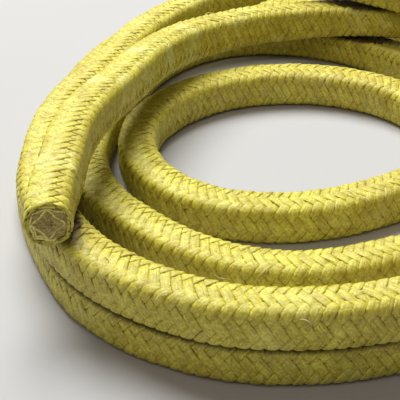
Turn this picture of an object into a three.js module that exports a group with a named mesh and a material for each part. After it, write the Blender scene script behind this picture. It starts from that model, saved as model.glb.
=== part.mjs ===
// Gland packing rope: one length of square braided packing, coiled loosely and left lying, seen with its cut end on top.
// Millimetres, +Z up. The coil rests on z = 0 and its box is centred on x = y = 0.
import * as THREE from 'three';

// Driving dimensions
const ROPE = 12.7;        // side of the square section (half inch packing)
const CORNER = 0.22;      // corner radius, as a share of the side
const LAYER = 1.03;       // rise of one layer of the coil, in sides
const STEP = 0.45;        // distance between two sections along the rope, in sides
const CORNER_STEPS = 2;   // facets round each corner of the section

// The cut end: a braided jacket round a square core that stands on its corner, in sides of the rope
const JACKET = 0.11;      // thickness of the jacket
const SUNK = 0.05;        // how far the cut core lies below the jacket's edge
const DIAMOND = 0.30;     // half diagonal of the core's square
const SKIN = 0.05;        // thickness of the core's skin
const SKIN_RISE = 0.03;   // how far the skin stands out of the cut core
const SLOPE = 0.01;       // how far each step's wall in the cut leans, so that none is upright
const SHARPEST = 0.04;    // smallest corner radius of the rings inside the cut

// The rope's middle line from the cut end on top of the coil to the end inside it: the angle about the coil's eye in
// degrees, which only falls, the distance from the eye in sides of the rope and the layer that the rope lies on.
const ROUTE = [
  // the free end, from its cut at the front left back across the stack
  [233.4, 8.78, 2.01], [223, 7.12, 2.01], [216, 6.38, 2.01], [209, 5.72, 2.01], [199, 4.98, 1.91], [187, 4.45, 1.75],
  [170, 4.12, 1.6], [152, 4.14, 1.47], [136, 4.36, 1.36], [122, 4.75, 1.24], [108, 5.15, 1.14], [95, 5.7, 1.05],
  [84, 6.15, 1], [73, 6.65, 1], [62, 7.1, 1], [50, 7.55, 0.99], [40, 7.9, 0.78], [30, 8.1, 0.42], [20, 8.26, 0.1],
  [10, 8.42, 0], [-10, 8.65, 0], [-30, 8.55, 0], [-50, 8.3, 0], [-65, 8.17, 0],
  // the outermost turn, on the floor
  [-79, 8.25, 0], [-90, 8.42, 0], [-100, 8.5, 0], [-112, 8.37, 0], [-126, 7.9, 0], [-136, 7.38, 0], [-148, 6.92, 0],
  [-160, 6.6, 0], [-175, 6.3, 0], [-192, 6.17, 0], [-208, 6.42, 0], [-222, 7.04, 0], [-238, 7.92, 0], [-254, 8.6, 0],
  [-270, 8.95, 0], [-285, 9.1, 0], [-300, 9.15, 0], [-318, 9.23, 0.14], [-330, 9.32, 0.48], [-340, 9.4, 0.94],
  [-350, 9.28, 1.02], [-365, 9.06, 1], [-385, 8.8, 1], [-405, 8.55, 1], [-422, 8.42, 1],
  // the turn on top of it, up to where it climbs over the free end
  [-439, 8.5, 1], [-450, 8.66, 1], [-461, 8.74, 1], [-472, 8.54, 1], [-482, 8.2, 1], [-492, 7.72, 1], [-501, 7.3, 1],
  [-509, 6.85, 1], [-518, 6.4, 1], [-526, 6.08, 1], [-535, 5.79, 1], [-546, 5.54, 1], [-558, 5.34, 1],
  [-571, 5.42, 1], [-584, 5.86, 1], [-597, 6.48, 1], [-610, 7.08, 1.1], [-620, 7.36, 1.38], [-630, 7.45, 1.78],
  [-640, 7.2, 2.02], [-650, 6.92, 2.03], [-660, 6.7, 2.03], [-672, 6.52, 2.03], [-690, 6.35, 1.95], [-710, 6.25, 1.46],
  [-730, 6.15, 0.78], [-745, 6.05, 0.34], [-762, 5.88, 0.05],
  // the middle turn, on the floor
  [-775, 5.75, 0], [-788, 5.7, 0], [-800, 5.78, 0], [-810, 5.88, 0], [-820, 5.88, 0], [-835, 5.7, 0], [-850, 5.48, 0],
  [-868, 5.35, 0], [-885, 5.2, 0], [-905, 5.04, 0], [-922, 5.06, 0], [-937, 5.48, 0], [-950, 6.08, 0],
  [-965, 6.83, 0], [-980, 7.3, 0], [-992, 7.32, 0], [-1003, 7.11, 0], [-1015, 6.8, 0], [-1027, 6.5, 0],
  [-1045, 6, 0], [-1065, 5.3, 0], [-1085, 4.55, 0], [-1105, 3.95, 0], [-1118, 3.6, 0],
  // the inner turn, on the floor, and the end inside the coil
  [-1131, 3.4, 0], [-1149, 3.33, 0], [-1170, 3.42, 0], [-1186, 3.56, 0], [-1202, 3.72, 0], [-1220, 3.84, 0],
  [-1245, 3.89, 0], [-1270, 3.87, 0], [-1295, 3.78, 0], [-1320, 3.76, 0], [-1345, 3.8, 0], [-1365, 3.92, 0],
  [-1382, 4.05, 0], [-1398, 4.2, 0], [-1412, 4.25, 0],
];

// Slopes of column k at every station. Distances take the slope through both neighbours, and heights go level where
// they stop rising or falling, so that no part of the rope dips below the layer it lies on.
function slopes(k, level) {
  return ROUTE.map((s, i) => {
    const before = ROUTE[Math.max(i - 1, 0)], after = ROUTE[Math.min(i + 1, ROUTE.length - 1)];
    if (before === s || after === s) return (after[k] - before[k]) / (after[0] - before[0]);
    const a = s[0] - before[0], b = after[0] - s[0];
    const da = (s[k] - before[k]) / a, db = (after[k] - s[k]) / b;
    if (level) return da * db <= 0 ? 0 : 2 * da * db / (da + db);
    return (da * b + db * a) / (a + b);
  });
}
const FAR = slopes(1, false), HIGH = slopes(2, true);

function column(k, m, i, t) {
  const h = ROUTE[i + 1][0] - ROUTE[i][0], u = 1 - t;
  return (1 + 2 * t) * u * u * ROUTE[i][k] + t * u * u * h * m[i]
    + t * t * (3 - 2 * t) * ROUTE[i + 1][k] - t * t * u * h * m[i + 1];
}

// Points of the middle line, about STEP apart
function middleLine() {
  const points = [];
  const last = ROUTE[ROUTE.length - 1][0];
  let angle = ROUTE[0][0], i = 0, done = false;
  while (!done) {
    if (angle <= last) { angle = last; done = true; }
    while (i < ROUTE.length - 2 && angle < ROUTE[i + 1][0]) i++;
    const t = (angle - ROUTE[i][0]) / (ROUTE[i + 1][0] - ROUTE[i][0]);
    const far = column(1, FAR, i, t), high = column(2, HIGH, i, t);
    const rad = THREE.MathUtils.degToRad(angle);
    points.push(new THREE.Vector3(far * Math.cos(rad), far * Math.sin(rad), 0.5 + high * LAYER));
    angle -= THREE.MathUtils.radToDeg(STEP / far);
  }
  const box = new THREE.Box3().setFromPoints(points);
  const middle = box.getCenter(new THREE.Vector3());
  return points.map((p) => new THREE.Vector3(p.x - middle.x, p.y - middle.y, p.z).multiplyScalar(ROPE));
}

// The section as pairs (across, up), in sides: a square with round corners, `inset` in from the surface
function roundSquare(inset) {
  const radius = Math.max(CORNER - inset, SHARPEST), straight = 0.5 - inset - radius;
  const loop = [];
  for (let c = 0; c < 4; c++) {
    const sx = c === 0 || c === 3 ? 1 : -1, sy = c < 2 ? 1 : -1;
    for (let j = 0; j <= CORNER_STEPS; j++) {
      const a = (c + j / CORNER_STEPS) * Math.PI / 2;
      loop.push([sx * straight + radius * Math.cos(a), sy * straight + radius * Math.sin(a)]);
    }
  }
  return loop;
}

// The same number of points on a square that stands on its corner
function diamond(half) {
  return roundSquare(0).map(([x, y]) => {
    const k = half / (Math.abs(x) + Math.abs(y));
    return [x * k, y * k];
  });
}

// Rings of one cut end from the rope's side inwards: [outline, distance back from the cut]
const CUT = [
  [roundSquare(0), 0],
  [roundSquare(JACKET), 0],
  [roundSquare(JACKET + SLOPE), SUNK],
  [diamond(DIAMOND), SUNK],
  [diamond(DIAMOND - SLOPE), SUNK - SKIN_RISE],
  [diamond(DIAMOND - SKIN), SUNK - SKIN_RISE],
  [diamond(DIAMOND - SKIN - SLOPE), SUNK],
];

function ropeGeometry() {
  const line = middleLine();
  const n = line.length;
  const along = line.map((p, i) => line[Math.min(i + 1, n - 1)].clone().sub(line[Math.max(i - 1, 0)]).normalize());
  const position = [], index = [];
  const ring = (i, outline, back) => {
    const first = position.length / 3;
    const across = new THREE.Vector3(-along[i].y, along[i].x, 0).normalize();
    const up = new THREE.Vector3().crossVectors(along[i], across);
    for (const [x, y] of outline) {
      const p = line[i].clone().addScaledVector(across, x * ROPE).addScaledVector(up, y * ROPE);
      p.addScaledVector(along[i], back * ROPE);
      position.push(p.x, p.y, p.z);
    }
    return first;
  };
  const rings = [];
  for (const [outline, back] of [...CUT].reverse()) rings.push(ring(0, outline, back));
  for (let i = 1; i < n - 1; i++) rings.push(ring(i, CUT[0][0], 0));
  for (const [outline, back] of CUT) rings.push(ring(n - 1, outline, -back));
  const m = CUT[0][0].length;
  for (let r = 0; r < rings.length - 1; r++) {
    for (let j = 0; j < m; j++) {
      const a = rings[r] + j, b = rings[r] + (j + 1) % m;
      const c = rings[r + 1] + j, d = rings[r + 1] + (j + 1) % m;
      index.push(a, b, c, b, d, c);
    }
  }
  for (let j = 1; j < m - 1; j++) {
    index.push(rings[0], rings[0] + j + 1, rings[0] + j);
    const e = rings[rings.length - 1];
    index.push(e, e + j, e + j + 1);
  }
  const geometry = new THREE.BufferGeometry();
  geometry.setAttribute('position', new THREE.Float32BufferAttribute(position, 3));
  geometry.setIndex(index);
  geometry.computeVertexNormals();
  return geometry;
}

const part = new THREE.Group();
part.name = 'gland_packing_rope';
const rope = new THREE.Mesh(
  ropeGeometry(),
  new THREE.MeshStandardMaterial({ color: 0xcdbd4e, roughness: 0.75, metalness: 0 }),
);
rope.name = 'packing_rope';
part.add(rope);

export default part;
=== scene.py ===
import bmesh
import bpy
import math
import numpy as np
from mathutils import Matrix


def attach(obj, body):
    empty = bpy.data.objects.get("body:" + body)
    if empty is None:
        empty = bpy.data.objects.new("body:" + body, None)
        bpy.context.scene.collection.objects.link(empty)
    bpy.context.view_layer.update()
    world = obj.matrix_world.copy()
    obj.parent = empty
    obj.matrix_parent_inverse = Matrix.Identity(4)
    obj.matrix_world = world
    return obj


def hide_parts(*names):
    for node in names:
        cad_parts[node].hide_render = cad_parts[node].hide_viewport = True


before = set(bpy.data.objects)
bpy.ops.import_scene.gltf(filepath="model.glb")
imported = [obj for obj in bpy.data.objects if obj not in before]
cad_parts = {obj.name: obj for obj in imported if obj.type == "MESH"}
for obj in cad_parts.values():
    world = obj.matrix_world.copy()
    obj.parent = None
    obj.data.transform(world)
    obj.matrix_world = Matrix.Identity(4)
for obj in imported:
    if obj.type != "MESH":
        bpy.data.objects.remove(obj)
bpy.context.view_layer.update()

# The rope: half inch square braided gland packing, one length, coiled by hand in about four and a half
# turns. Its middle line is the list that the CAD source has: angle about the coil's eye in degrees,
# distance from the eye, and layer. It runs from the cut end on top of the coil to the end inside it.
SIDE = 0.0127       # side of the rope's section, which all other sizes of the rope are measured in
CORNER = 0.22       # radius of the section's corners
LAYER = 1.03        # height from one layer to the next
STEP = 0.45         # distance between the points of the cord's route
ROUTE = np.array([
    # the free end, from its cut at the front left back across the stack
    [233.4, 8.78, 2.01], [223, 7.12, 2.01], [216, 6.38, 2.01], [209, 5.72, 2.01], [199, 4.98, 1.91],
    [187, 4.45, 1.75], [170, 4.12, 1.6], [152, 4.14, 1.47], [136, 4.36, 1.36], [122, 4.75, 1.24],
    [108, 5.15, 1.14], [95, 5.7, 1.05], [84, 6.15, 1], [73, 6.65, 1], [62, 7.1, 1], [50, 7.55, 0.99],
    [40, 7.9, 0.78], [30, 8.1, 0.42], [20, 8.26, 0.1], [10, 8.42, 0], [-10, 8.65, 0], [-30, 8.55, 0],
    [-50, 8.3, 0], [-65, 8.17, 0],
    # the outermost turn, on the floor
    [-79, 8.25, 0], [-90, 8.42, 0], [-100, 8.5, 0], [-112, 8.37, 0], [-126, 7.9, 0], [-136, 7.38, 0],
    [-148, 6.92, 0], [-160, 6.6, 0], [-175, 6.3, 0], [-192, 6.17, 0], [-208, 6.42, 0], [-222, 7.04, 0],
    [-238, 7.92, 0], [-254, 8.6, 0], [-270, 8.95, 0], [-285, 9.1, 0], [-300, 9.15, 0],
    [-318, 9.23, 0.14], [-330, 9.32, 0.48], [-340, 9.4, 0.94], [-350, 9.28, 1.02], [-365, 9.06, 1],
    [-385, 8.8, 1], [-405, 8.55, 1], [-422, 8.42, 1],
    # the turn on top of it, up to where it climbs over the free end
    [-439, 8.5, 1], [-450, 8.66, 1], [-461, 8.74, 1], [-472, 8.54, 1], [-482, 8.2, 1], [-492, 7.72, 1],
    [-501, 7.3, 1], [-509, 6.85, 1], [-518, 6.4, 1], [-526, 6.08, 1], [-535, 5.79, 1], [-546, 5.54, 1],
    [-558, 5.34, 1], [-571, 5.42, 1], [-584, 5.86, 1], [-597, 6.48, 1], [-610, 7.08, 1.1],
    [-620, 7.36, 1.38], [-630, 7.45, 1.78], [-640, 7.2, 2.02], [-650, 6.92, 2.03], [-660, 6.7, 2.03],
    [-672, 6.52, 2.03], [-690, 6.35, 1.95], [-710, 6.25, 1.46], [-730, 6.15, 0.78], [-745, 6.05, 0.34],
    [-762, 5.88, 0.05],
    # the middle turn, on the floor
    [-775, 5.75, 0], [-788, 5.7, 0], [-800, 5.78, 0], [-810, 5.88, 0], [-820, 5.88, 0], [-835, 5.7, 0],
    [-850, 5.48, 0], [-868, 5.35, 0], [-885, 5.2, 0], [-905, 5.04, 0], [-922, 5.06, 0], [-937, 5.48, 0],
    [-950, 6.08, 0], [-965, 6.83, 0], [-980, 7.3, 0], [-992, 7.32, 0], [-1003, 7.11, 0],
    [-1015, 6.8, 0], [-1027, 6.5, 0], [-1045, 6, 0], [-1065, 5.3, 0], [-1085, 4.55, 0],
    [-1105, 3.95, 0], [-1118, 3.6, 0],
    # the inner turn, on the floor, and the end inside the coil
    [-1131, 3.4, 0], [-1149, 3.33, 0], [-1170, 3.42, 0], [-1186, 3.56, 0], [-1202, 3.72, 0],
    [-1220, 3.84, 0], [-1245, 3.89, 0], [-1270, 3.87, 0], [-1295, 3.78, 0], [-1320, 3.76, 0],
    [-1345, 3.8, 0], [-1365, 3.92, 0], [-1382, 4.05, 0], [-1398, 4.2, 0], [-1412, 4.25, 0],
])


def slopes(k, level):
    slope = []
    for i, stop in enumerate(ROUTE):
        before, after = ROUTE[max(i - 1, 0)], ROUTE[min(i + 1, len(ROUTE) - 1)]
        if i in (0, len(ROUTE) - 1):
            slope.append((after[k] - before[k]) / (after[0] - before[0]))
            continue
        a, b = stop[0] - before[0], after[0] - stop[0]
        da, db = (stop[k] - before[k]) / a, (after[k] - stop[k]) / b
        if level:
            slope.append(0 if da * db <= 0 else 2 * da * db / (da + db))
        else:
            slope.append((da * b + db * a) / (a + b))
    return slope


FAR, HIGH = slopes(1, False), slopes(2, True)


def walk(step):
    """Points of the middle line, step apart, in sides of the rope, from the coil's eye."""
    points, angle, i, done = [], ROUTE[0][0], 0, False
    while not done:
        if angle <= ROUTE[-1][0]:
            angle, done = ROUTE[-1][0], True
        while i < len(ROUTE) - 2 and angle < ROUTE[i + 1][0]:
            i += 1
        h = ROUTE[i + 1][0] - ROUTE[i][0]
        t = (angle - ROUTE[i][0]) / h
        u = 1 - t
        far, high = (
            (1 + 2 * t) * u * u * ROUTE[i][k] + t * u * u * h * m[i]
            + t * t * (3 - 2 * t) * ROUTE[i + 1][k] - t * t * u * h * m[i + 1]
            for k, m in ((1, FAR), (2, HIGH))
        )
        rad = math.radians(angle)
        points.append((far * math.cos(rad), far * math.sin(rad), 0.5 + high * LAYER))
        angle -= math.degrees(step / far)
    return np.array(points)


corners = walk(STEP)
eye = (corners.min(0) + corners.max(0)) / 2 * (1, 1, 0)

# The camera: a long lens from the front, looking down on the left half of the coil. Its place and lens
# were fitted to the edges of the turns in the photo.
TILT = math.radians(31)
CAMERA_AT = (-2.2739, -25.5632, 14.2622)    # in sides, from where the route's angles turn
cam_data = bpy.data.cameras.new("camera")
cam_data.lens = 101.0
cam_data.sensor_width = 36
cam_data.clip_start = 0.01
camera = bpy.data.objects.new("camera", cam_data)
camera.location = (np.array(CAMERA_AT) - eye) * SIDE
camera.rotation_euler = (math.radians(90) - TILT, 0, 0)
bpy.context.scene.collection.objects.link(camera)
bpy.context.scene.camera = camera

# The core of the rope: parallel yarns under the braid, square like the rope. It shows only in the slits
# between the strands and in the cut. All sizes here are in sides of the rope, and a run is a distance along
# its middle line.
FINE = 0.1              # step of the middle line that the pieces are laid on
ARC = math.pi / 4 * CORNER      # half the arc of a corner
FACE = 0.39             # width of the braid's column in the middle of a face
ROUND = 1 - 2 * CORNER + 2 * ARC - FACE     # width of its column round a corner
COLUMN = (FACE + ROUND) / 2
FLARE = 0.20            # how much the knife has rounded the corners off at the cut
FLARE_RUN = 0.5         # how far back from the cut that reaches
PRESS = 0.05            # how much a turn is pressed flat on top where another lies on it
EVERY = 5               # of so many points of the line one is looked at as a neighbour
BLEND = 15              # points of the line over which the joint between two turns begins and ends
SAME_LAYER = 0.15       # how far two layers may be off and still count as neighbours
LIES_ON = 0.8           # how far apart two turns may pass, seen from above, and still touch
TOP_EDGE, TOP_REACH = 0.37, 0.60        # where the joint begins on the turn below, and how far aside it goes
BOTTOM_EDGE, BOTTOM_REACH = 0.41, 0.75  # the same on the turn above
FADE_UP, FADE_ASIDE = 0.05, 0.08        # how much of the surface it takes to fade in, up and aside
line = walk(FINE) - eye
ways = np.gradient(line, axis=0)
ways /= np.linalg.norm(ways, axis=1)[:, None]
runs = np.concatenate([[0], np.cumsum(np.linalg.norm(np.diff(line, axis=0), axis=1))])
LENGTH = runs[-1]
asides = np.stack([-ways[:, 1], ways[:, 0]], -1) / np.hypot(ways[:, 0], ways[:, 1])[:, None]
gaps = line[None, ::EVERY] - line[:, None]
blur = np.ones(BLEND) / BLEND
# Where two turns rest on each other: this presses the turn below flat on top and sets where painted shade
# darkens the joint
touching = []
for level, edge, reach in ((LAYER, TOP_EDGE, TOP_REACH), (-LAYER, BOTTOM_EDGE, BOTTOM_REACH)):
    beside = np.hypot(gaps[..., 0], gaps[..., 1])
    near = np.where(abs(gaps[..., 2] - level) < SAME_LAYER, beside, np.inf)
    nearest = gaps[np.arange(len(line)), near.argmin(1), :2]
    there = np.convolve(near.min(1) < LIES_ON, blur, "same")
    aside = np.convolve((nearest * asides).sum(1), blur, "same")
    touching.append((there, aside, math.copysign(1, level), edge, reach))
pressed = PRESS * touching[0][0]
rng = np.random.default_rng(7)


def within(run, x, y):
    """Points in metres: run along the rope, x across it and y up, both from the rope's middle line."""
    at = np.stack([np.interp(run, runs, line[:, i]) for i in range(3)], -1)
    way = np.stack([np.interp(run, runs, ways[:, i]) for i in range(3)], -1)
    across = np.stack([-way[..., 1], way[..., 0], 0 * way[..., 0]], -1)
    across /= np.linalg.norm(across, axis=-1)[..., None]
    up = np.cross(way, across)
    diagonal = 4 * x**2 * y**2 / np.maximum(x**2 + y**2, 1e-6)**2
    eased = 1 + FLARE * np.exp(-run / FLARE_RUN) * diagonal
    x, y = x / eased, y / eased - np.maximum(y, 0) / 0.5 * np.interp(run, runs, pressed)
    return (at + across * x[..., None] + up * y[..., None]) * SIDE


def touched(run, x, y):
    """How far a point of the surface lies in the joint between two turns that rest on each other, where
    painted shade darkens the strands.
    """
    deep = 0
    for there, aside, side, edge, reach in touching:
        over = np.clip((side * y - edge) / FADE_UP, 0, 1)
        near = np.clip((reach - abs(x - np.interp(run, runs, aside))) / FADE_ASIDE, 0, 1)
        deep = deep + over * near * np.interp(run, runs, there)
    return np.minimum(deep, 1)


def outline(place, depth):
    """The section at a depth below the surface. Even places are the middles of its corners, odd ones of its
    faces."""
    k = np.floor((place + 0.5) / 2)
    v = place - 2 * k
    far = np.where(v > 0.5, ROUND / 2 + FACE * (v - 0.5), ROUND * v)
    bent = np.clip(far, -ARC, ARC)
    mid = np.radians(90 * k + 45)
    angle = mid + bent / CORNER
    turn = math.sqrt(2) * (0.5 - CORNER)
    out = CORNER - depth
    return (turn * np.cos(mid) + out * np.cos(angle) - (far - bent) * np.sin(angle),
            turn * np.sin(mid) + out * np.sin(angle) + (far - bent) * np.cos(angle))


def tube(name, *parts, with_slot="braid"):
    """One piece of closed tubes, each from rings of points, its lift at each point and the distance along it.
    Each is a grid, rolled up, joined along its seam and filled at both ends."""
    bm = bmesh.new()
    uv = bm.loops.layers.uv.new("UVMap")
    layer = bm.verts.layers.float.new("lift")
    seam = []
    for points, lift, along in parts:
        rings, sides = points.shape[:2]
        start, first_face = len(bm.verts), len(bm.faces)
        bmesh.ops.create_grid(bm, x_segments=sides, y_segments=rings - 1, size=1)
        bm.verts.ensure_lookup_table()
        bm.verts.index_update()
        bm.faces.ensure_lookup_table()
        for face in bm.faces[first_face:]:
            for loop in face.loops:
                row, column = divmod(loop.vert.index - start, sides + 1)
                loop[uv].uv = (column / sides, along[row])
        rolled = np.concatenate([points, points[:, :1]], 1).reshape(-1, 3)
        lifted = np.concatenate([lift, lift[:, :1]], 1).reshape(-1)
        for vert, place, value in zip(bm.verts[start:], rolled, lifted):
            vert.co = place
            vert[layer] = value
        for row in range(rings):
            first = start + row * (sides + 1)
            seam += [bm.verts[first], bm.verts[first + sides]]
    bmesh.ops.remove_doubles(bm, verts=seam, dist=1e-7)
    bmesh.ops.holes_fill(bm, edges=[edge for edge in bm.edges if edge.is_boundary], sides=0)
    bmesh.ops.recalc_face_normals(bm, faces=bm.faces)
    for face in bm.faces:
        face.smooth = len(face.verts) == 4
    mesh = bpy.data.meshes.new(name)
    bm.to_mesh(mesh)
    bm.free()
    piece = bpy.data.objects.new(name, mesh)
    bpy.context.scene.collection.objects.link(piece)
    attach(piece, "root")
    return piece


CORE_DEPTH = 0.105      # thickness of the jacket round the core
CORE_SUNK = 0.03        # how far the core's cut yarns lie below the jacket's cut edge
CORE_SIDES = 32         # points round one ring of the core
CORE_ROUGH = 0.018      # how uneven the yarns are cut
END_RINGS = 8           # rings that fill each end of the core, one inside the other
END_CLEAR = 0.4         # how far from each cut the core's plain rings begin
CORE_STEP = 0.5         # distance between them
core_x, core_y = outline(np.linspace(-0.5, 7.5, CORE_SIDES + 1)[:-1], CORE_DEPTH)
core_between = np.arange(END_CLEAR, LENGTH - END_CLEAR, CORE_STEP)
core_runs = np.concatenate([[CORE_SUNK] * END_RINGS, core_between, [LENGTH - CORE_SUNK] * END_RINGS])
widens = np.linspace(0.06, 1, END_RINGS)
core_size = np.concatenate([widens, np.ones(len(core_between)), widens[::-1]])
at_end = (core_runs < END_CLEAR / 2) | (core_runs > LENGTH - END_CLEAR / 2)
core_rough = np.where(at_end, CORE_ROUGH, 0)[:, None] * rng.normal(0, 1, (len(core_runs), CORE_SIDES))
core = tube("core", (
    within(core_runs[:, None] + core_rough, core_size[:, None] * core_x, core_size[:, None] * core_y),
    np.ones((len(core_runs), CORE_SIDES)), core_runs))

# The braid: sixteen flat strands of yarn, braided over two and under two and pressed flat in a die. Eight
# wind one way and show over the corners, eight wind the other way and show along the middle of the faces.
# Each is one closed ribbon that rises over two strands, dives under two, and narrows where it dives.
PITCH = 0.25            # rise of the braid while a strand crosses one column
STRAND = 0.121          # half the width of a strand
THICK = 0.030           # half its thickness
WAVE = 0.034            # how far it goes up and down as it passes over and under
STEEP = 2.4             # how suddenly it does so
MIDDLE = 0.068          # depth of the braid's middle layer below the rope's surface
# the section of a strand: across it in half widths, and up in half thicknesses
SECTION = np.array([(-1, -0.2), (-0.9, 0.6), (-0.6, 0.95), (0.6, 1), (0.9, 0.6), (1, -0.2), (0, -0.8)])
# where a strand has its rings, in columns from the middle of a float: seven over it, three where it is under
ALONG = np.array([-0.64, -0.50, -0.34, 0, 0.34, 0.50, 0.64, 0.83, 1, 1.17])
DIVE = 0.70             # where between the middles of two floats a strand dives, in columns
DIVE_LONG = 0.14        # half the length of a dive, in columns
SLIT = 0.75             # how much a strand may narrow there, which leaves a slit beside it
UNEVEN = (0.007, 0.006, 0.03)   # spreads of a float's shift aside, of its height and of its width
JOINT_SHADE = 0.9            # how dark the painted shade makes a strand in the joint between two turns
FRESH = 0.05            # how far back from the knife's cut a strand shows its clean yellow inside
slant = math.hypot(PITCH, COLUMN)
turns = LENGTH / PITCH
strands = []
for n in range(16):
    way = 1 if n < 8 else -1
    k = n if n < 8 else n - 7.5
    first = k % 2 if n < 8 else (1 - k) % 2
    t = (first + 2 * np.arange(-2, turns / 2 + 2)[:, None] + ALONG[None, :]).ravel()
    t = t[(t > -0.6) & (t < turns + 0.6)]
    beat = np.arange(-4, turns + 4) * 1.0
    shift, rise, fat = (np.interp(t, beat, rng.normal(0, spread, len(beat))) for spread in UNEVEN)
    dives = np.exp(-(((abs((t - first + 1) % 2 - 1) - DIVE) / DIVE_LONG) ** 2))
    slit = np.interp(t, beat + 0.5, rng.uniform(0, SLIT, len(beat)))
    half = STRAND * (1 + fat - slit * dives)
    side = SECTION[None, :, 0] * half[:, None] + shift[:, None]
    beats = t[:, None] + side * COLUMN / slant / PITCH
    place = k - way * t[:, None] + way * side * PITCH / slant / COLUMN
    wave = way * np.cos(np.pi / 2 * (k + place - way * beats))
    wave = np.tanh(STEEP * wave) / math.tanh(STEEP)
    depth = MIDDLE - WAVE * wave - rise[:, None] - THICK * SECTION[None, :, 1]
    run = np.clip(PITCH * beats, 0, LENGTH)
    x, y = outline(place, np.maximum(depth, 0))
    # lift is high where the strand rides over and low where it dives under; painted shade lowers it further
    # in the joint between two turns
    lift = (wave * 0.5 + 0.5) * (1 - JOINT_SHADE * touched(run, x, y))
    lift = np.maximum(lift, np.exp(-np.minimum(run, LENGTH - run) / FRESH))
    strands.append(tube(f"strand_{n + 1:02d}", (within(run, x, y), lift, t * slant)))

# The cut: the core is four corner bundles round a square bundle that stands on its corner and is wrapped
# in a pale skin of yarn. The knife has left the skin and the jacket's inner lip standing a little out of
# the cut.
DIAMOND = 0.33          # half diagonal of the square bundle
BUNDLE_SIDES = 24       # points round one ring of the bundle
BUNDLE_ROUGH = 0.012    # how uneven its yarns are cut
quarter, share = np.divmod(np.arange(BUNDLE_SIDES) * 4 / BUNDLE_SIDES, 1)
edge_turn = np.pi / 2 * quarter
ring_x = np.cos(edge_turn) * (1 - share) - np.sin(edge_turn) * share
ring_y = np.sin(edge_turn) * (1 - share) + np.cos(edge_turn) * share
bundle_runs = np.array([0.05, 0.045, 0.05, 0.04, 0.05, 0.3])
bundle_size = DIAMOND * np.array([0.1, 0.35, 0.6, 0.85, 1, 1])
bundle_rough = BUNDLE_ROUGH * rng.normal(0, 1, (len(bundle_runs), BUNDLE_SIDES))
bundle_rough *= (bundle_runs < bundle_runs[-1])[:, None]
bundle = tube("cut_bundle", (
    within(bundle_runs[:, None] + bundle_rough,
           bundle_size[:, None] * ring_x, bundle_size[:, None] * ring_y),
    np.ones((len(bundle_runs), BUNDLE_SIDES)), bundle_runs))


RIDGE_SIDES = 8         # points round a ridge of yarn in the cut
SWELL = 0.18            # how uneven its thickness is, as a share of it
FRAYED = 0.006          # how uneven its height is


def strip(xs, ys, wide, high, stand):
    """A low ridge of yarn on the cut face along a line in the section, standing out of the cut by stand."""
    way_x, way_y = np.gradient(xs), np.gradient(ys)
    size = np.hypot(way_x, way_y)
    turn = np.radians(np.arange(RIDGE_SIDES) * 360 / RIDGE_SIDES)
    swell = (1 + SWELL * rng.normal(0, 1, len(xs)))[:, None]
    aside, ahead = wide * swell * np.cos(turn), high * swell * np.sin(turn)
    x = xs[:, None] - way_y[:, None] / size[:, None] * aside
    y = ys[:, None] + way_x[:, None] / size[:, None] * aside
    run = stand - ahead + FRAYED * rng.normal(0, 1, len(xs))[:, None]
    return within(np.maximum(run, -0.02), x, y), np.ones(x.shape), np.cumsum(size)


SKIN_HIGH, SKIN_STAND = 0.05, 0.035     # how thick the skin's ridge is and how far it stands out
LIP_HIGH, LIP_STAND = 0.04, 0.02        # the same for the lip
BOW = 0.05              # how far the skin's sides bow outwards, as a share of the bundle
LIP_WAVE = 0.008        # how far the lip wanders in and out
share = np.linspace(0, 1, 12)
bow = BOW * np.sin(np.pi * share)
skins = []
for (x0, y0), (x1, y1), wide in (
        ((1.02, 0.05), (0.05, -1), 0.034), ((-0.02, -0.98), (-1, 0), 0.016),
        ((-1, 0.03), (0, 1), 0.018), ((0.03, 1.02), (1, 0.02), 0.024)):
    skin_x = DIAMOND * (x0 + (x1 - x0) * share + bow * (x0 + x1))
    skin_y = DIAMOND * (y0 + (y1 - y0) * share + bow * (y0 + y1))
    skins.append(strip(skin_x, skin_y, wide, SKIN_HIGH, SKIN_STAND))
skin = tube("cut_skin", *skins)
lips = []
for start, end, depth, wide in (
        (4.6, 7.6, 0.140, 0.030), (5.1, 7.0, 0.192, 0.018), (-0.3, 2.2, 0.158, 0.012)):
    lip_place = np.linspace(start, end, 30)
    lip_depth = depth + LIP_WAVE * np.sin(lip_place * 5)
    lips.append(strip(*outline(lip_place, lip_depth), wide, LIP_HIGH, LIP_STAND))
lip = tube("cut_lip", *lips)

# Loose fibres: pale filaments that have worked out of the braid and lie curled on its top and front
# faces. They are hair-thin, round, and held by the braid at one end.
FIBRES = 110
FIBRE = 0.010           # half the thickness of a fibre
BENDS = 10              # rings along a fibre
FIBRE_SIDES = 5         # points round one ring of a fibre
FIBRE_LONG = (0.18, 0.5)    # length of the shortest and of the longest
CURL = 1.6              # spread of how far a fibre turns along its length, in radians
FOOT, ARCH = 0.004, 0.03    # how far its ends and its middle stand off the rope, the middle at most
fibres = []
for run, place in zip(rng.uniform(1, LENGTH - 1, FIBRES), rng.uniform(-0.8, 3.2, FIBRES)):
    s = np.linspace(0, 1, BENDS)
    size, turn, curl = rng.uniform(*FIBRE_LONG), rng.uniform(0, 6.28), rng.normal(0, CURL)
    bend = turn + curl * s
    along = run + np.cumsum(np.cos(bend)) * size / BENDS
    around = place + np.cumsum(np.sin(bend)) * size / BENDS / COLUMN
    high = FOOT + ARCH * rng.uniform(0, 1) * np.sin(np.pi * s)
    ring = np.radians(np.arange(FIBRE_SIDES) * 360 / FIBRE_SIDES)
    thin = FIBRE * np.sin(np.pi * (0.08 + 0.84 * s))[:, None]
    fibres.append((
        within(along[:, None] - np.sin(bend)[:, None] * thin * np.cos(ring),
               *outline(around[:, None] + np.cos(bend)[:, None] * thin * np.cos(ring) / COLUMN,
                        -high[:, None] - thin * np.sin(ring))),
        np.ones((BENDS, FIBRE_SIDES)), s * size))
loose = tube("loose_fibres", *fibres)

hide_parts("packing_rope")
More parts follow.
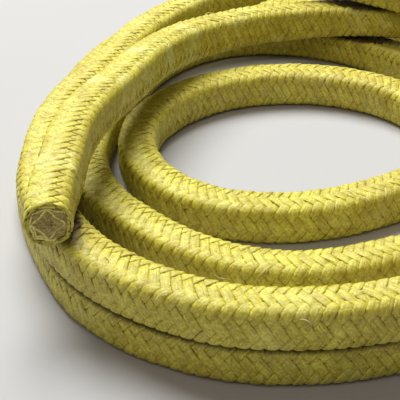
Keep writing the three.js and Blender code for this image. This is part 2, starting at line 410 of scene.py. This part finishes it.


# The yarn's look: fine filaments that run along each strand, slightly glossy with dry lubricant, lemon on
# top, and painted shade in dark brown where the strand goes under its neighbours or two turns touch. A pale
# film of lubricant lies in patches, most of all near the cut.
def material(name):
    made = bpy.data.materials.new(name)
    made.use_nodes = True
    return made, made.node_tree.nodes, made.node_tree.links, made.node_tree.nodes["Principled BSDF"]


def ranged(nodes, links, source, low, high, to_low=0.0, to_high=1.0):
    node = nodes.new("ShaderNodeMapRange")
    for socket, value in (("From Min", low), ("From Max", high), ("To Min", to_low), ("To Max", to_high)):
        node.inputs[socket].default_value = value
    links.new(source, node.inputs["Value"])
    return node.outputs["Result"]


def mixed(nodes, links, factor, a, b, blend="MIX"):
    node = nodes.new("ShaderNodeMix")
    node.data_type = "RGBA"
    node.blend_type = blend
    for socket, value in (("Factor", factor), ("A", a), ("B", b)):
        if isinstance(value, (tuple, float)):
            node.inputs[socket].default_value = value
        else:
            links.new(value, node.inputs[socket])
    return node.outputs["Result"]


def noise(nodes, links, source, scale, detail, rough):
    node = nodes.new("ShaderNodeTexNoise")
    for socket, value in (("Scale", scale), ("Detail", detail), ("Roughness", rough)):
        node.inputs[socket].default_value = value
    links.new(source, node.inputs["Vector"])
    return node.outputs["Fac"]


def times(nodes, links, a, b):
    node = nodes.new("ShaderNodeMath")
    node.operation = "MULTIPLY"
    links.new(a, node.inputs[0])
    links.new(b, node.inputs[1])
    return node.outputs["Value"]


def bumped(nodes, links, height, strength, distance):
    node = nodes.new("ShaderNodeBump")
    node.inputs["Strength"].default_value = strength
    node.inputs["Distance"].default_value = distance
    links.new(height, node.inputs["Height"])
    return node


OCHRE, LEMON = (0.50, 0.42, 0.040, 1), (0.88, 0.84, 0.12, 1)
TANNED = (0.50, 0.37, 0.04, 1)      # larger patches that lean to brown
STREAK = (0.55, 0.48, 0.33, 1)      # the tint of the lines between filaments
NAP_TINT = (0.68, 0.61, 0.40, 1)    # the tint of the small pits in the yarn
UNDER_SHADE = (0.10, 0.06, 0.01, 1)      # painted shade where a strand is under others
FILM = (0.88, 0.88, 0.38, 1)
yarn, nodes, links, shader = material("yarn")
uv = nodes.new("ShaderNodeUVMap")
uv.uv_map = "UVMap"
stretch = nodes.new("ShaderNodeMapping")
stretch.inputs["Scale"].default_value = (46, 1.5, 1)
links.new(uv.outputs["UV"], stretch.inputs["Vector"])
hair = noise(nodes, links, stretch.outputs["Vector"], 1, 3, 0.6)
place = nodes.new("ShaderNodeTexCoord").outputs["Object"]
lift = nodes.new("ShaderNodeAttribute")
lift.attribute_name = "lift"
tone = mixed(nodes, links, ranged(nodes, links, noise(nodes, links, place, 230, 8, 0.78), 0.34, 0.66),
             OCHRE, LEMON)
tone = mixed(nodes, links, ranged(nodes, links, noise(nodes, links, place, 22, 2, 0.5), 0.35, 0.65, 0, 0.35),
             tone, TANNED)
streaked = mixed(nodes, links, 1.0, tone, STREAK, "MULTIPLY")
tone = mixed(nodes, links, ranged(nodes, links, hair, 0.30, 0.52), streaked, tone)
nap = noise(nodes, links, place, 1500, 4, 0.7)
pitted = mixed(nodes, links, 1.0, tone, NAP_TINT, "MULTIPLY")
tone = mixed(nodes, links, ranged(nodes, links, nap, 0.38, 0.56), pitted, tone)
# painted shade: the strand turns dark brown where its lift is low, under its neighbours and in the joints
# between turns
tone = mixed(nodes, links, ranged(nodes, links, lift.outputs["Fac"], 0.12, 0.60), UNDER_SHADE, tone)
split = nodes.new("ShaderNodeSeparateXYZ")
links.new(uv.outputs["UV"], split.inputs["Vector"])
near_cut = ranged(nodes, links, split.outputs["Y"], 24, 56, 1, 0.35)
film = ranged(nodes, links, noise(nodes, links, place, 90, 7, 0.75), 0.50, 0.68, 0, 0.62)
covers = ranged(nodes, links, lift.outputs["Fac"], 0.06, 0.55, 0.35, 1)
film = times(nodes, links, times(nodes, links, film, near_cut), covers)
links.new(mixed(nodes, links, film, tone, FILM), shader.inputs["Base Color"])
links.new(ranged(nodes, links, film, 0, 0.6, 0.46, 0.62), shader.inputs["Roughness"])
filaments = bumped(nodes, links, hair, 0.7, 0.00012)
rough = bumped(nodes, links, nap, 0.6, 0.00025)
links.new(filaments.outputs["Normal"], rough.inputs["Normal"])
links.new(rough.outputs["Normal"], shader.inputs["Normal"])
for piece in strands:
    piece.data.materials.append(yarn)

# The cut yarns: ends of dark fibre in the core, a paler skin and lip round them, and the loose fibres.
# All are one fibre that the lubricant has darkened more or less, so they share one grain with their own
# shades and fineness.
grain = bpy.data.node_groups.new("fibre_grain", "ShaderNodeTree")
for name, way, kind in (
        ("Scale", "INPUT", "NodeSocketFloat"), ("Dark", "INPUT", "NodeSocketColor"),
        ("Light", "INPUT", "NodeSocketColor"), ("Color", "OUTPUT", "NodeSocketColor"),
        ("Height", "OUTPUT", "NodeSocketFloat")):
    grain.interface.new_socket(name=name, in_out=way, socket_type=kind)
nodes, links = grain.nodes, grain.links
given = nodes.new("NodeGroupInput").outputs
result = nodes.new("NodeGroupOutput").inputs
fibre = noise(nodes, links, nodes.new("ShaderNodeTexCoord").outputs["Object"], 1, 3, 0.6)
links.new(given["Scale"], fibre.node.inputs["Scale"])
shade = mixed(nodes, links, ranged(nodes, links, fibre, 0.38, 0.64), given["Dark"], given["Light"])
links.new(shade, result["Color"])
links.new(fibre, result["Height"])
for name, dark, light, scale, pieces in (
        ("core_yarn", (0.24, 0.18, 0.05, 1), (0.56, 0.45, 0.15, 1), 2600, (core, bundle)),
        ("skin_yarn", (0.60, 0.52, 0.14, 1), (0.90, 0.83, 0.32, 1), 1500, (skin, lip)),
        ("loose_fibre", (0.66, 0.61, 0.26, 1), (0.86, 0.82, 0.46, 1), 900, (loose,))):
    made, nodes, links, shader = material(name)
    fibre = nodes.new("ShaderNodeGroup")
    fibre.node_tree = grain
    for socket, value in (("Scale", scale), ("Dark", dark), ("Light", light)):
        fibre.inputs[socket].default_value = value
    links.new(fibre.outputs["Color"], shader.inputs["Base Color"])
    rough = bumped(nodes, links, fibre.outputs["Height"], 0.6, 0.0002)
    links.new(rough.outputs["Normal"], shader.inputs["Normal"])
    shader.inputs["Roughness"].default_value = 0.8
    for piece in pieces:
        piece.data.materials.append(made)

# The floor: a large sheet of pale matt paper, a little pinkish as in the photo. It is what the coil lies
# on and no part of the product, and lies just under the rope.
FLOOR = 3               # half its side, in metres
FLOOR_GAP = 0.0001      # how far it lies under the rope, in metres
bm = bmesh.new()
bmesh.ops.create_grid(bm, x_segments=1, y_segments=1, size=FLOOR)
bmesh.ops.translate(bm, verts=bm.verts, vec=(0, 0, -FLOOR_GAP))
floor_mesh = bpy.data.meshes.new("floor")
bm.to_mesh(floor_mesh)
bm.free()
floor = bpy.data.objects.new("floor", floor_mesh)
bpy.context.scene.collection.objects.link(floor)
paper, nodes, links, shader = material("paper")
shader.inputs["Base Color"].default_value = (0.44, 0.425, 0.435, 1)
shader.inputs["Roughness"].default_value = 0.9
shader.inputs["Specular IOR Level"].default_value = 0.2
floor.data.materials.append(paper)

# The light: one soft light high up behind the coil and to the left, a weak warm one from the front left,
# and a little warm light from all round.
world = bpy.data.worlds.new("world")
world.use_nodes = True
world.node_tree.nodes["Background"].inputs["Color"].default_value = (1.0, 0.95, 0.90, 1)
world.node_tree.nodes["Background"].inputs["Strength"].default_value = 0.14
bpy.context.scene.world = world


def softbox(name, place, size, power, colour):
    data = bpy.data.lights.new(name, "AREA")
    data.shape = "DISK"
    data.size = size
    data.energy = power
    data.color = colour
    lamp = bpy.data.objects.new(name, data)
    lamp.location = place
    lamp.rotation_euler = (-lamp.location).to_track_quat("-Z", "Y").to_euler()
    bpy.context.scene.collection.objects.link(lamp)


softbox("softbox_key", (-0.35, 0.7, 1.4), 1.2, 49, (0.965, 1.0, 0.965))
softbox("softbox_fill", (-0.4, -0.9, 1.3), 1.0, 4.5, (1, 0.90, 0.76))
bpy.context.scene.view_settings.view_transform = "Standard"
